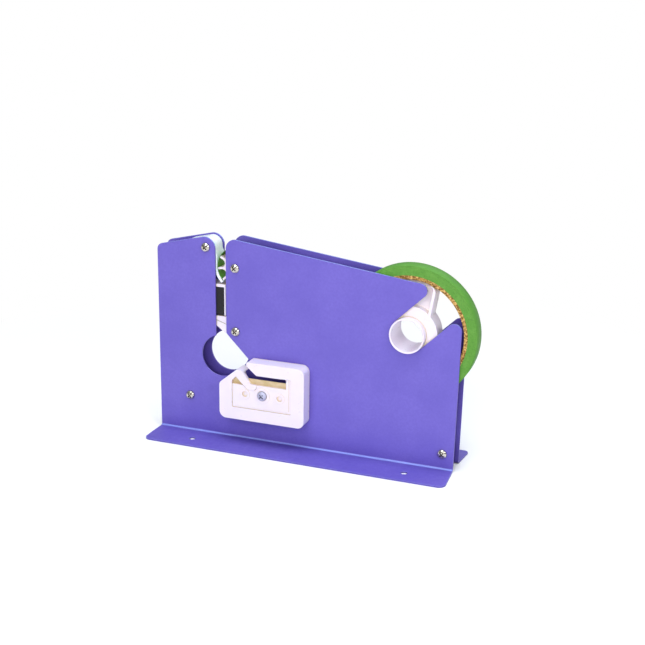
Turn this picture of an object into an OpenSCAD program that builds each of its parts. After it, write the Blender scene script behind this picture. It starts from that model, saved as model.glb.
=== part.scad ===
// Bag neck sealer: two bent side plates carry a roll of tape, a toothed wheel, a pressing arm,
// a cutter lever and a trimmer box. X runs along the base, Y away from the trimmer side, Z up.
// Sizes are in millimetres. The origin is the middle of the four base holes, under the flanges.

/* [Side plates] */
// Length of the side plates along the base
plate_length = 226; // [222:1:236]
// Thickness of the sheet steel
sheet = 1.2; // [1:0.1:1.4]
// Clear space between the two plates
plate_gap = 14; // [14:0.5:15]
// Inside radius of the fold between plate and flange
fold_r = 1.4; // [1:0.2:2]
// Width of the front flange measured from the plate's outer face
front_flange = 28.5; // [26:0.5:32]
// Width of the rear flange measured from the plate's outer face
rear_flange = 22.2; // [19:0.5:24]
// Corner radius of the front flange
flange_corner = 5; // [3:0.5:7]
// Corner radius of the rear flange
rear_corner = 3; // [2:0.5:5]
// How far the right edges lean in at the fold
right_lean = 1.8; // [0:0.2:2.4]
// Height of the tower's left top corner
tower_left_z = 139.6; // [138:0.2:141]
// Slope of the tower's top edge
tower_slope = 13.1; // [12:0.1:14]
// Height of the body's top corner beside the neck slot
body_top_z = 149; // [148:0.2:150]
// Slope of the body's top edge
body_slope = 7.2; // [6.8:0.1:7.6]
// Left edge of the neck slot
slot_x = 45.6; // [45.4:0.1:45.8]
// Width of the neck slot
slot_w = 8.3; // [8:0.1:8.6]
// Height of the round hole's centre
hole_z = 61.6; // [60.8:0.1:62.4]
// Radius of the round hole
hole_r = 15.3; // [14.9:0.1:15.5]

/* [Base holes] */
// Diameter of the four base holes
base_hole_d = 4.8; // [4.2:0.1:5.6]
// Spacing of the base holes along the length
base_hole_dx = 161; // [158:0.5:164]
// Spacing of the base holes across the width
base_hole_dy = 44; // [43:0.5:45]
// First base hole from the left end
base_hole_x = 33.3; // [30:0.5:36]

/* [Tape roll] */
// Bore of the cardboard core
core_bore_d = 76; // [76:0.1:76.6]
// Wall of the cardboard core
core_wall = 2.6; // [2:0.1:3]
// Thickness of the wound tape on the core
tape_wound = 6.6; // [3.4:0.1:6.9]
// Width of the tape
tape_w = 12; // [9:0.5:12]
// Roll centre from the right end
roll_inset = 37.1; // [36.5:0.1:38]
// Roll centre above the base
roll_z = 94.6; // [94:0.1:95.2]
// Width of the slots that the roll's axle lies in
axle_slot_w = 25.3; // [25:0.1:25.6]
// Slope of the axle slots
axle_slot_tilt = 44; // [43:0.5:45]

/* [Star wheel] */
// Radius over the wheel's tips
star_r = 14; // [13.8:0.05:14]
// Wheel centre to the right of the slot's right edge
star_off = 7.1; // [7.1:0.05:7.3]
// Wheel centre above the base
star_z = 127.6; // [127:0.1:128.2]
// Turn of the wheel at rest
star_turn = 25; // [0:1:36]

/* [Press arm and cutter] */
// Reach of the black pad into the neck slot
pad_reach = 6.1; // [5:0.1:6.3]
// Height of the black pad
pad_h = 20.9; // [19:0.1:21.2]
// Pivot of the cutter lever from the slot's right edge
cutter_off = 7.3; // [7.2:0.1:7.6]
// Pivot of the cutter lever above the base
cutter_z = 81.2; // [80.9:0.1:81.5]

/* [Trimmer] */
// Depth of the trimmer box
trimmer_depth = 10.8; // [9.5:0.1:12]
// Right side of the trimmer box from the left end
trimmer_right = 118.1; // [116:0.2:122]
// Bottom of the trimmer box above the base
trimmer_low = 19.2; // [18:0.1:21]
// Top of the trimmer box above the base
trimmer_top = 63.3; // [62.6:0.1:66]

/* [Hidden] */
$fn = 64;
eps = 0.01;
arc_steps = 8;
roll_x = plate_length - roll_inset;
roll_d = core_bore_d + 2 * core_wall + 2 * tape_wound;
half_gap = plate_gap / 2;
half_out = half_gap + sheet;
fold_out = fold_r + sheet;
fold_length = plate_length - right_lean;
slot_r = slot_x + slot_w;
hole_x = slot_x + slot_w / 2;
pattern_x = base_hole_x + base_hole_dx / 2;
hole_shift = 2.2;
front_hole_y = -(base_hole_dy / 2 + hole_shift);
pattern_y = front_hole_y + base_hole_dy / 2;
tower_corner = 4.5;
slot_corner = 8;
body_corner = 7;
nose_corner = 5;
diag_corner = 4;
tower_right_z = tower_left_z + slot_x * tan(tower_slope);
// The oblique edge below the slot touches the round hole at 45 degrees.
diag_sum = hole_x + hole_z + hole_r * sqrt(2);
diag_z = diag_sum - slot_r;
diag_touch = [hole_x + hole_r / sqrt(2), hole_z + hole_r / sqrt(2)];

// Axle slots
seat = [roll_x, roll_z];
out_dir = [cos(axle_slot_tilt), sin(axle_slot_tilt)];
side_dir = [-sin(axle_slot_tilt), cos(axle_slot_tilt)];
seat_up = seat + side_dir * axle_slot_w / 2;
seat_low = seat - side_dir * axle_slot_w / 2;
slot_rise = tan(axle_slot_tilt);
top_fall = tan(body_slope);
nose_x = (body_top_z + slot_r * top_fall - seat_up[1] + seat_up[0] * slot_rise) / (slot_rise + top_fall);
nose_z = body_top_z - (nose_x - slot_r) * top_fall;
prong_z = seat_low[1] + (plate_length - seat_low[0]) * slot_rise;

// Spacers, screws and stop pins
spacer_d = 8;
spacer_bore = 3.5;
screw_d = 3.4;
screw_hole = 3.8;
screw_len = 5.5;
head_d = 6.4;
head_h = 2.3;
head_rim = 1;
head_bulge = 0.75;
head_shoulder = 0.7;
head_flat = 1.8;
head_crown = 0.15;
recess_l = 3.8;
recess_w = 0.9;
recess_deep = 1.3;
tower_top_at = [38.4, 140.7];
tower_low_at = [24.4, 28.2];
tail_inset = 9.8;
tail_z = 12.4;
tail_at = [plate_length - tail_inset, tail_z];
star_at = [slot_r + star_off, star_z];
cutter_at = [slot_r + cutter_off, cutter_z];
post_places = [tower_top_at, tower_low_at, star_at, cutter_at, tail_at];
pin_d = 3.2;
pin_deep = 3;
stop_gap = 0.2;
arm_pin_drop = 6;
pivot_fit = 0.06;
moving_side = 0.5;

// Guide block and its finger
guide_recess = 1;
guide_left = 22;
guide_low = 129;
finger_gap = 0.85;
finger_wall = 1.9;
finger_end = 227;
finger_top = 135.5;
finger_root = 3;
finger_side = 0.6;
guide_corner = 2;

// Tape web
web_t = 0.25;
web_gap = 0.3;
web_from = 45;
web_end = 224;

// Star wheel
star_teeth = 10;
gullet_r = 3;
gullet_at = 11.9;
star_side = 0.5;
tip_land = 1.3;
star_pitch = 360 / star_teeth;
star_hub_r = 6.4;
star_pocket = 3;
star_rib = 1.4;

// Press arm
arm_back = 1.5;
arm_eye_r = 6.5;
pad_x = slot_x + pad_reach;
pad_back = 43;
pad_top = 112.4;
pad_low = pad_top - pad_h;
lip_h = 2;
rim_w = 1;
key_w = 6;
key_deep = 1.6;
key_low = pad_low + pad_h / 2 - key_w / 2;
arm_stop_z = 82;
arm_right = 28.2;
arm_left = 18.4;
arm_lean = 1;
arm_foot_z = 26;
arm_shoulder_z = 84;
arm_neck = [33.4, 100];
arm_head_x = 38;
arm_waist_z = 40;
arm_heel = [30.6, 29];
head_deep = 10;

// Cutter lever
lever_eye_r = 6.5;
lever_rise = 9.7;
lever_top = cutter_z + lever_rise;
lever_in = 3;
lever_under = 1.6;
lever_fall = 3;
lever_point = 4;
lever_clear = 0.6;
lever_nose = slot_x - 0.9;
blade_t = 0.5;
blade_tilt = 17.8;
blade_fit = 0.05;
blade_in = 5.4;
blade_out = 17.9;
blade_tooth = 0.9;
blade_teeth = 10;
blade_up = 1.5;
rivet_d = 2;
rivet_at = 11;
rivet_up = 4.2;
rivet_down = 4.4;
heel_reach = 14.8;
heel_low = 2.7;

// Springs
wire_d = 0.9;
coil_r = 5.3;
coil_turns = 2;
leg_bend = 1.2;
coil_pitch = 1.35;
coil_steps = 18;
wire_sides = 8;
peg_d = 2;
peg_side = 1.6;
peg_past = 2;

// Trimmer
trimmer_left = 53;
channel_low = 47;
channel_high = 54.1;
channel_end = 104.5;
channel_turn = 77.4;
channel_bevel = 2.6;
recess_depth = 2.6;
cover_t = 2.1;
cover_fit = 0.2;
cover_rim = 1.6;
cover_rim_drop = 0.5;
boss_d = 7.4;
boss_hole = 4.4;
boss_rise = 0.5;
boss_reach = 13.3;
ring_d = 11.2;
trimmer_head_d = 7;
trimmer_screw_at = [86.4, 39.6];
trimmer_blade_t = 0.4;
nut_h = 3;
nut_flats = 7;
peg_long = 1;
locate_d = 3.2;
locate_fit = 0.05;
locate_places = [[60, 26], [112, 57]];
front_bevel = 1.2;

// Axle tube and spool
axle_d = axle_slot_w - 0.6;
axle_wall = 1.2;
axle_out = 4;
spool_fit = 0.05;
spool_side = 0.4;
spool_hub_r = 20;
spool_wall = 1.9;
spool_root_half = 12.2;
spool_flare = 9.6;
spool_corner = 4.5;
spool_web = 2;
spool_fit_core = 0.05;
spool_arms = 2;

// ---------- helpers ----------
function unit(v) = v / norm(v);
function turn_to(a, b) = a + ((b - a + 540) % 360 - 180);

// Points of one rounded corner
function corner(p, q, s, r) =
    r <= 0 ? [q] :
    let (u = unit(p - q), v = unit(s - q), half = acos(u * v) / 2, away = r / tan(half),
         c = q + unit(u + v) * (r / sin(half)), first = q + u * away - c, last = q + v * away - c,
         a = atan2(first[1], first[0]), b = turn_to(a, atan2(last[1], last[0])))
    [for (i = [0:arc_steps]) c + r * [cos(a + (b - a) * i / arc_steps), sin(a + (b - a) * i / arc_steps)]];

// Outline from [x, z, radius] corners
function rounded(pts) =
    let (n = len(pts))
    [for (i = [0:n - 1])
        let (p = pts[(i + n - 1) % n], q = pts[i], s = pts[(i + 1) % n])
        each corner([p[0], p[1]], [q[0], q[1]], [s[0], s[1]], q[2])];

function arc(c, r, a, b, n) = [for (i = [0:n]) c + r * [cos(a + (b - a) * i / n), sin(a + (b - a) * i / n)]];

// Puts the local frame's origin at the middle of the base holes
module place() {
    translate([-pattern_x, -pattern_y, 0]) children();
}

// Raises an X-Z outline between two Y values
module slab(y0, y1) {
    translate([0, y1, 0]) rotate([90, 0, 0]) linear_extrude(y1 - y0) children();
}

// Cylinder along Y
module bar(at, y0, y1, d) {
    translate([at[0], y1, at[1]]) rotate([90, 0, 0]) cylinder(d = d, h = y1 - y0);
}

// ---------- side plates ----------
function plate_outline() = rounded([
    [0, fold_out, 0],
    [0, tower_left_z, tower_corner],
    [slot_x, tower_right_z, slot_corner],
    [slot_x, hole_z, 0],
    [hole_x, hole_z, 0],
    [diag_touch[0], diag_touch[1], 0],
    [slot_r, diag_z, diag_corner],
    [slot_r, body_top_z, body_corner],
    [nose_x, nose_z, nose_corner],
    [seat_up[0], seat_up[1], 0],
    [seat_low[0], seat_low[1], 0],
    [plate_length, prong_z, nose_corner],
    [fold_length, fold_out, 0]]);

function rear_outline() = rounded([
    [0, fold_out, 0],
    [0, tower_left_z, tower_corner],
    [slot_x, tower_right_z, slot_corner],
    [slot_x, hole_z, 0],
    [slot_r, hole_z, 0],
    [slot_r, body_top_z, body_corner],
    [nose_x, nose_z, nose_corner],
    [seat_up[0], seat_up[1], 0],
    [seat_low[0], seat_low[1], 0],
    [plate_length, prong_z, nose_corner],
    [fold_length, fold_out, 0]]);

// Where the neck's tail passes the front plate, wider to the lower left than the trimmer's channel
channel_drop = 6.8;
plate_open_x = 71;
plate_open_in = [4, 8];
function channel_outline() = rounded([
    [hole_x, hole_z, 0],
    [diag_touch[0], diag_touch[1], 0],
    [diag_sum - channel_high, channel_high, 1],
    [channel_end - channel_bevel, channel_high, 0],
    [channel_end, channel_high - channel_bevel, 0],
    [channel_end, channel_low, 0],
    [plate_open_x, channel_low, 2],
    [hole_x + plate_open_in[0], hole_z - plate_open_in[1], 0]]);
channel_low_x = 73.2;
channel_low_z = diag_sum - channel_low_x - channel_drop;

// Sheet at Y 0 to -sheet with its flange towards -Y
module bent_sheet(flange, outline, round_off) {
    difference() {
        union() {
            slab(-sheet, 0) polygon(outline);
            translate([0, -sheet - fold_r, fold_out]) rotate([0, 90, 0]) fold();
            translate([0, -sheet - flange, 0]) linear_extrude(sheet)
                polygon(rounded([[0, flange - fold_r, 0], [0, 0, round_off],
                    [plate_length, 0, round_off], [fold_length, flange - fold_r, 0]]));
        }
        bar(seat, -sheet - eps, eps, axle_slot_w);
        bar([hole_x, hole_z], -sheet - eps, eps, hole_r * 2);
        for (at = post_places)
            bar(at, -sheet - eps, eps, screw_hole);
    }
}

// Quarter tube of the fold, drawn along Z
module fold() {
    intersection() {
        difference() {
            cylinder(r = fold_out, h = fold_length);
            translate([0, 0, -eps]) cylinder(r = fold_r, h = fold_length + 2 * eps);
        }
        cube([fold_out, fold_out, fold_length]);
    }
}

module base_holes(y) {
    for (x = [base_hole_x, base_hole_x + base_hole_dx])
        translate([x, y, -eps]) cylinder(d = base_hole_d, h = sheet + 2 * eps);
}

module front_plate() color("slateblue") place() difference() {
    translate([0, -half_gap, 0]) bent_sheet(front_flange, plate_outline(), flange_corner);
    slab(-half_out - eps, -half_gap + eps) polygon(channel_outline());
    bar(trimmer_screw_at, -half_out - eps, -half_gap + eps, screw_hole);
    for (at = locate_places)
        bar(at, -half_out - eps, -half_gap + eps, locate_d + 2 * locate_fit);
    base_holes(front_hole_y);
}

module rear_plate() color("slateblue") place() difference() {
    mirror([0, 1, 0]) translate([0, -half_gap, 0]) bent_sheet(rear_flange, rear_outline(), rear_corner);
    for (at = [arm_pin_at, lever_pin_at])
        bar(at, half_gap - eps, half_out + eps, pin_d);
    for (at = [arm_leg_end, lever_leg_end])
        bar(at, half_gap - eps, half_out + eps, wire_d + 4 * wire_fit);
    base_holes(front_hole_y + base_hole_dy);
}

// ---------- spacers, screws and pins ----------
module plate_spacers() color("silver") place() {
    for (at = post_places) difference() {
        bar(at, -half_gap, half_gap, spacer_d);
        bar(at, -half_gap - eps, half_gap + eps, spacer_bore);
    }
}

// Pan head with a cross recess, head towards +Z, seat at Z 0
module pan_screw(length, head) {
    difference() {
        union() {
            rotate_extrude() polygon([[0, 0], [head / 2, 0], [head / 2, head_rim],
                [head / 2 - head_shoulder, head_rim + head_bulge],
                [head / 2 - head_flat, head_h - head_crown], [0, head_h]]);
            translate([0, 0, -length]) cylinder(d = screw_d, h = length + eps);
        }
        for (a = [45, 135]) rotate([0, 0, a])
            translate([-recess_l / 2, -recess_w / 2, head_h - recess_deep]) cube([recess_l, recess_w, head_h]);
    }
}

module front_screws() color("gainsboro") place()
    for (at = post_places)
        translate([at[0], -half_out, at[1]]) rotate([90, 0, 0]) pan_screw(screw_len, head_d);

module rear_screws() color("gainsboro") place()
    for (at = post_places)
        translate([at[0], half_out, at[1]]) rotate([-90, 0, 0]) pan_screw(screw_len, head_d);

arm_pin_at = [arm_right + pin_d / 2 + stop_gap, arm_stop_z - arm_pin_drop];
lever_pin_at = [cutter_at[0] + heel_reach - 3, cutter_z - heel_low - pin_d / 2 - stop_gap];

module stop_pins() color("silver") place()
    for (at = [arm_pin_at, lever_pin_at])
        bar(at, -pin_deep, half_out, pin_d);

// ---------- guide block ----------
finger_r = star_r + finger_gap;
guide_right = slot_x - guide_recess;
guide_drop = guide_recess;

function guide_outline() = rounded([
    [guide_left, guide_low, guide_corner],
    [guide_left, tower_left_z + guide_left * tan(tower_slope) - guide_drop, guide_corner],
    [guide_right, tower_left_z + guide_right * tan(tower_slope) - guide_drop, slot_corner - guide_recess],
    [guide_right, guide_low, 0]]);

// Curved finger that keeps the tape on the wheel
function finger_outline() = concat(
    [[guide_right - finger_root, star_z + finger_root],
     [guide_right - finger_root, finger_top + finger_root],
     [guide_right, finger_top + finger_root],
     [star_at[0] - finger_r, finger_top]],
    arc(star_at, finger_r, 180, finger_end, 14),
    arc(star_at, finger_r + finger_wall, finger_end, 180, 14));

module guide_block() color("whitesmoke") place() difference() {
    union() {
        slab(-half_gap, half_gap) polygon(guide_outline());
        slab(-half_gap + finger_side, half_gap - finger_side) polygon(finger_outline());
    }
    bar(tower_top_at, -half_gap - eps, half_gap + eps, spacer_d + 2 * pivot_fit);
}

// ---------- star wheel ----------
module gullet() {
    translate([gullet_at, 0]) circle(r = gullet_r);
    polygon([[gullet_at, -gullet_r], [star_r + 1, -gullet_open], [star_r + 1, gullet_open], [gullet_at, gullet_r]]);
}
gullet_open = (star_r + 1) * tan(star_pitch / 2) - tip_land / 2;

module star_wheel() color("white") place()
    translate([star_at[0], 0, star_at[1]]) rotate([0, -star_turn, 0]) difference() {
        slab(-half_gap + star_side, half_gap - star_side) difference() {
            circle(r = star_r);
            for (i = [0:star_teeth - 1]) rotate(i * star_pitch) gullet();
        }
        bar([0, 0], -half_gap, half_gap, spacer_d + 2 * pivot_fit);
    }

// ---------- press arm ----------
module press_arm() color("whitesmoke") place() difference() {
    union() {
        slab(-half_gap + moving_side, arm_back) union() {
            translate(tower_low_at) circle(r = arm_eye_r);
            polygon(rounded([
                [arm_left, arm_foot_z, 0], [arm_left + arm_lean, arm_shoulder_z, 8],
                [arm_neck[0], arm_neck[1], 3], [arm_neck[0], pad_low + head_deep, 0],
                [pad_back, pad_low + head_deep, 0], [pad_back, pad_low, 0.5], [arm_head_x, pad_low, 3],
                [arm_right, arm_stop_z, 6], [arm_right, arm_waist_z, 4],
                [arm_heel[0], arm_heel[1], 0], [tower_low_at[0], arm_foot_z, 0]]));
        }
        slab(-half_gap + moving_side, half_gap - moving_side) polygon(rounded([
            [arm_head_x, pad_low, 1], [arm_head_x, pad_top + lip_h, 1], [pad_x + rim_w, pad_top + lip_h, 0.5],
            [pad_x + rim_w, pad_low, 0.4], [pad_x, pad_low, 0], [pad_x, pad_top, 0],
            [pad_back, pad_top, 0], [pad_back, pad_low, 0]]));
        bar(arm_peg_at, arm_back - eps, half_gap - 1, peg_d);
    }
    bar(tower_low_at, -half_gap, half_gap, spacer_d + 2 * pivot_fit);
    slab(-half_gap, half_gap) translate([pad_back - key_deep, key_low]) square([key_deep + eps, key_w]);
}

function pad_outline() = rounded([
    [pad_back, pad_low, 0],
    [pad_back, key_low, 0],
    [pad_back - key_deep, key_low, 0],
    [pad_back - key_deep, key_low + key_w, 0],
    [pad_back, key_low + key_w, 0],
    [pad_back, pad_top, 0],
    [pad_x, pad_top, 0],
    [pad_x, pad_low, 0]]);

module press_pad() color("dimgray") place()
    slab(-half_gap + moving_side, half_gap - moving_side) polygon(pad_outline());

// ---------- cutter lever ----------
blade_mid = [cutter_at[0], cutter_at[1] + blade_up];

module cutter_lever() color("white") place() difference() {
    union() {
        slab(-half_gap + moving_side, arm_back) union() {
            translate(cutter_at) circle(r = lever_eye_r);
            polygon(rounded([
                [cutter_at[0], cutter_z - lever_eye_r + 0.4, 0],
                [slot_r - lever_in, cutter_z - lever_under, 2], [lever_nose + lever_point, cutter_z, 0],
                [slot_r, lever_top, 0], [cutter_at[0], lever_top - lever_fall, 2],
                [cutter_at[0] + heel_reach, cutter_z + lever_fall, 2],
                [cutter_at[0] + heel_reach, cutter_z - heel_low, 1],
                [cutter_at[0] + 5, cutter_z - heel_low, 0]]));
        }
        slab(-half_gap + moving_side, half_gap - moving_side) polygon(rounded([
            [lever_nose, lever_top, 1.2], [lever_nose, cutter_z + lever_fall, 2.4],
            [slot_r - lever_in, cutter_z - lever_under, 0.8],
            [slot_r - lever_clear, cutter_z + 1, 0.5], [slot_r - lever_clear, lever_top, 0.5]]));
        bar(lever_peg_at, arm_back - eps, half_gap - 1, peg_d);
    }
    bar(cutter_at, -half_gap, half_gap, spacer_d + 2 * pivot_fit);
    slab(-half_gap, half_gap) blade_edge_on(blade_t + 2 * blade_fit, blade_out + 3);
    rivet(0);
}

// Blade seen on its edge, from blade_in to a given reach
module blade_edge_on(t, reach) {
    translate(blade_mid) rotate(180 - blade_tilt) translate([blade_in, -t / 2]) square([reach - blade_in, t]);
}

// Rivet square to the blade
module rivet(fit) {
    translate([blade_mid[0], 0, blade_mid[1]]) rotate([0, blade_tilt - 180, 0])
        translate([rivet_at, 0, -rivet_up]) cylinder(d = rivet_d + 2 * fit, h = rivet_up + rivet_down);
}

module cutter_blade() color("silver") place() difference() {
    translate([blade_mid[0], 0, blade_mid[1]]) rotate([0, blade_tilt - 180, 0])
        translate([0, 0, -blade_t / 2]) linear_extrude(blade_t) polygon(blade_outline());
    rivet(blade_fit);
}

blade_half = half_gap - moving_side;
blade_step = 2 * blade_half / blade_teeth;
function blade_outline() = concat(
    [[blade_in, -blade_half]],
    [for (i = [0:blade_teeth - 1]) each [
        [blade_out - blade_tooth, -blade_half + i * blade_step],
        [blade_out, -blade_half + (i + 0.5) * blade_step]]],
    [[blade_out - blade_tooth, blade_half], [blade_in, blade_half]]);

module blade_rivet() color("gray") place() rivet(0);

// ---------- springs ----------
wire_fit = 0.1;
coil_from = arm_back + 0.7;
arm_peg_off = [-3.6, 15];
arm_leg_off = [8, -12];
lever_peg_off = [10.5, 0.6];
lever_leg_off = [14, 12];
arm_peg_at = tower_low_at + arm_peg_off;
arm_leg_end = tower_low_at + arm_leg_off;
lever_peg_at = cutter_at + lever_peg_off;
lever_leg_end = cutter_at + lever_leg_off;

function step_frame(path, i, n) =
    i >= len(path) ? [] :
    let (t = unit(path[min(i + 1, len(path) - 1)] - path[max(i - 1, 0)]),
         m = unit(n - (n * t) * t))
    concat([[t, m, cross(t, m)]], step_frame(path, i + 1, m));

// Round wire along a list of points
module wire(path) {
    frames = step_frame(path, 0, [0.31, 0.2, 0.93]);
    rings = len(path);
    points = [for (i = [0:rings - 1]) for (k = [0:wire_sides - 1])
        let (a = 360 * k / wire_sides)
        path[i] + wire_d / 2 * (cos(a) * frames[i][1] + sin(a) * frames[i][2])];
    sides = [for (i = [0:rings - 2]) for (k = [0:wire_sides - 1])
        let (a = i * wire_sides + k, b = i * wire_sides + (k + 1) % wire_sides)
        each [[a, a + wire_sides, b], [b, a + wire_sides, b + wire_sides]]];
    ends = [[for (k = [0:wire_sides - 1]) k],
        [for (k = [wire_sides - 1:-1:0]) (rings - 1) * wire_sides + k]];
    polyhedron(points, concat(sides, ends), convexity = 6);
}

// Coil about a post, with one tangent leg to a peg and one tangent leg through the rear plate
function spring_path(at, peg, last) =
    let (p = peg - at, q = last - at,
         enter = atan2(p[1], p[0]) + acos(coil_r / norm(p)),
         leave = atan2(q[1], q[0]) - acos(coil_r / norm(q)),
         sweep = 360 * coil_turns + ((leave - enter) % 360 + 360) % 360,
         n = round(sweep / 360 * coil_steps),
         y = coil_from + coil_pitch * sweep / 360,
         off = at + coil_r * [cos(leave), sin(leave)],
         near = last + unit(off - last) * leg_bend)
    concat([[peg[0], coil_from, peg[1]]],
        [for (i = [0:n]) let (b = enter + sweep * i / n)
            [at[0] + coil_r * cos(b), coil_from + (y - coil_from) * i / n, at[1] + coil_r * sin(b)]],
        [[near[0], y, near[1]],
         [last[0] + 0.35 * (near - last)[0], y + 0.3 * leg_bend, last[1] + 0.35 * (near - last)[1]],
         [last[0], y + 0.8 * leg_bend, last[1]],
         [last[0], half_out - 0.1, last[1]]]);

// Least gap of a wire to itself, between points over half a turn apart
function wire_gap(path) = min([for (i = [0:len(path) - 1])
    for (j = [i + coil_steps / 2:1:len(path) - 1]) norm(path[i] - path[j])]) - wire_d;
press_path = spring_path(tower_low_at, arm_peg_at + [-peg_side, peg_past], arm_leg_end);
cutter_path = spring_path(cutter_at, lever_peg_at + [peg_past, peg_side], lever_leg_end);
echo(press_spring_gap = wire_gap(press_path), cutter_spring_gap = wire_gap(cutter_path));

module press_spring() color("silver") place() wire(press_path);

module cutter_spring() color("silver") place() wire(cutter_path);

// ---------- trimmer ----------
trimmer_front = -half_out - trimmer_depth;
trimmer_corner = 5;
trimmer_step_z = 45.4;
trimmer_peak = [67.4, 57.4];
channel_mouth = [70.8, 56.1];
channel_bend_x = 81.8;
trimmer_nose = [74.3, 60.4];
function trimmer_outline() = rounded([
    [trimmer_left, trimmer_low, trimmer_corner],
    [trimmer_left, trimmer_step_z, 4],
    [trimmer_peak[0], trimmer_peak[1], 3],
    [channel_mouth[0], channel_mouth[1], 1.8],
    [channel_low_x, channel_low_z, 2],
    [channel_turn, channel_low, 1.2],
    [channel_end, channel_low, 0],
    [channel_end, channel_high - channel_bevel, 0],
    [channel_end - channel_bevel, channel_high, 0],
    [channel_bend_x, channel_high, 1],
    [trimmer_nose[0], trimmer_nose[1], 1],
    [trimmer_nose[0] - 0.2, trimmer_top, 1.4],
    [trimmer_right, trimmer_top, trimmer_corner],
    [trimmer_right, trimmer_low, trimmer_corner]]);

recess_left = 62.8;
recess_right = 108.3;
recess_low = 28.3;
recess_top = channel_high + 0.2;
recess_step_z = 48.2;
recess_peak = [66, 51.7];
ridge_root = [73.9, 43.9];
ridge_foot_z = 42.5;
ridge_foot = [76.6, 80.2];
ridge_end = [82, 45.1];
function ridge_edge(gap) = [
    [ridge_root[0] - gap, ridge_root[1] - gap, 1],
    [ridge_foot[0] - gap, ridge_foot_z - gap, 1.5],
    [ridge_foot[1] + gap, ridge_foot_z - gap, 1.5],
    [ridge_end[0] + gap, ridge_end[1] - gap, 1]];

function recess_outline() = rounded(concat([
    [recess_left, recess_low, 0.6],
    [recess_left, recess_step_z, 1],
    [recess_peak[0], recess_peak[1], 0.6]],
    ridge_edge(0), [
    [ridge_end[0], channel_low, 0],
    [ridge_end[0], channel_low + 1, 0],
    [channel_end - channel_bevel - 1, channel_low + 1, 0],
    [channel_end - channel_bevel - 1, recess_top, 0],
    [recess_right, recess_top, 0.6],
    [recess_right, recess_low, 0.6]]));

// Hollow behind the channel, so that only the front wall stands beside the tail
pocket_shift = [3.6, 3.1];
pocket_low = 44.4;
pocket_lead = 1.2;
pocket_over = 2;
function pocket_outline() = [
    [channel_low_x - pocket_shift[0] - pocket_lead, channel_low_z + pocket_over],
    [channel_low_x - pocket_shift[0], channel_low_z - pocket_shift[1]],
    [channel_turn - pocket_shift[0], pocket_low],
    [channel_end, pocket_low],
    [channel_end, channel_high - channel_bevel],
    [channel_end - channel_bevel, channel_high],
    [diag_sum - channel_high - pocket_over, channel_high],
    [channel_low_x + pocket_over / 2, channel_low_z + pocket_over]];

cover_step_z = 45.8;
cover_slope_x = recess_peak[0] + (recess_peak[1] - cover_step_z)
    * (ridge_root[0] - recess_peak[0]) / (recess_peak[1] - ridge_root[1]);
function cover_outline(rim) = rounded(concat([
    [recess_left + cover_fit + rim, recess_low + cover_fit + rim, 0.4],
    [recess_left + cover_fit + rim, cover_step_z, 0.4],
    [cover_slope_x - 2 * cover_fit, cover_step_z, 0]],
    ridge_edge(cover_fit), [
    [ridge_end[0] + cover_fit, channel_low - cover_fit, 0],
    [channel_end + cover_fit, channel_low - cover_fit, 0],
    [channel_end + cover_fit, recess_top - cover_fit, 0],
    [recess_right - cover_fit - rim, recess_top - cover_fit, 0],
    [recess_right - cover_fit - rim, recess_low + cover_fit + rim, 0.4]]));

blade_left = recess_left + 0.4;
blade_low = recess_low + 1.5;
blade_right = recess_right - 1.2;
blade_top = 50.7;
blade_slot = 0.1;
function blade_plate(grow) = [
    [blade_left - grow, blade_low - grow],
    [blade_left - grow, recess_step_z - 0.6],
    [recess_peak[0] - 0.9, blade_top + grow],
    [blade_right + grow, blade_top + grow],
    [blade_right + grow, blade_low - grow]];

boss_places = [for (s = [-1, 1]) trimmer_screw_at + [s * boss_reach, -0.3]];

module trimmer_box() color("white") place() {
    difference() {
        slab(trimmer_front, -half_out) polygon(trimmer_outline());
        slab(trimmer_front - eps, trimmer_front + recess_depth) polygon(recess_outline());
        slab(cover_front + cover_t - blade_slot, trimmer_front + recess_depth)
            polygon(blade_plate(blade_slot));
        slab(trimmer_front + recess_depth - eps, -half_out + eps) polygon(pocket_outline());
        bar(trimmer_screw_at, trimmer_front, -half_out + eps, screw_hole);
    }
    for (at = locate_places)
        bar(at, -half_out - eps, -half_out + peg_long, locate_d);
}

cover_front = trimmer_front + recess_depth - trimmer_blade_t - cover_t;
module trimmer_cover() color("white") place() difference() {
    union() {
        slab(cover_front, cover_front + cover_t) polygon(cover_outline(cover_rim));
        slab(cover_front + cover_rim_drop, cover_front + cover_t) polygon(cover_outline(0));
        for (at = boss_places)
            bar(at, cover_front - boss_rise, cover_front + eps, boss_d);
        bar(trimmer_screw_at, cover_front - boss_rise, cover_front + eps, ring_d);
    }
    bar(trimmer_screw_at, cover_front - 1, cover_front + cover_t + eps, screw_hole);
    bar(trimmer_screw_at, cover_front - 1, cover_front, trimmer_head_d + 0.6);
    for (at = boss_places)
        bar(at, cover_front - 1, cover_front + 1, boss_hole);
}

module trimmer_blade() color("silver") place() difference() {
    slab(cover_front + cover_t, cover_front + cover_t + trimmer_blade_t) polygon(blade_plate(0));
    bar(trimmer_screw_at, cover_front, -half_out, screw_hole);
}

module trimmer_screw() color("gainsboro") place()
    translate([trimmer_screw_at[0], cover_front, trimmer_screw_at[1]]) rotate([90, 0, 0])
        pan_screw(-half_gap + nut_h - cover_front, trimmer_head_d);

module trimmer_nut() color("silver") place() difference() {
    slab(-half_gap, -half_gap + nut_h) translate(trimmer_screw_at)
        polygon([for (i = [0:5]) nut_flats / sqrt(3) * [cos(60 * i), sin(60 * i)]]);
    bar(trimmer_screw_at, -half_gap - eps, -half_gap + nut_h + eps, screw_d + 2 * blade_fit);
}

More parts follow.
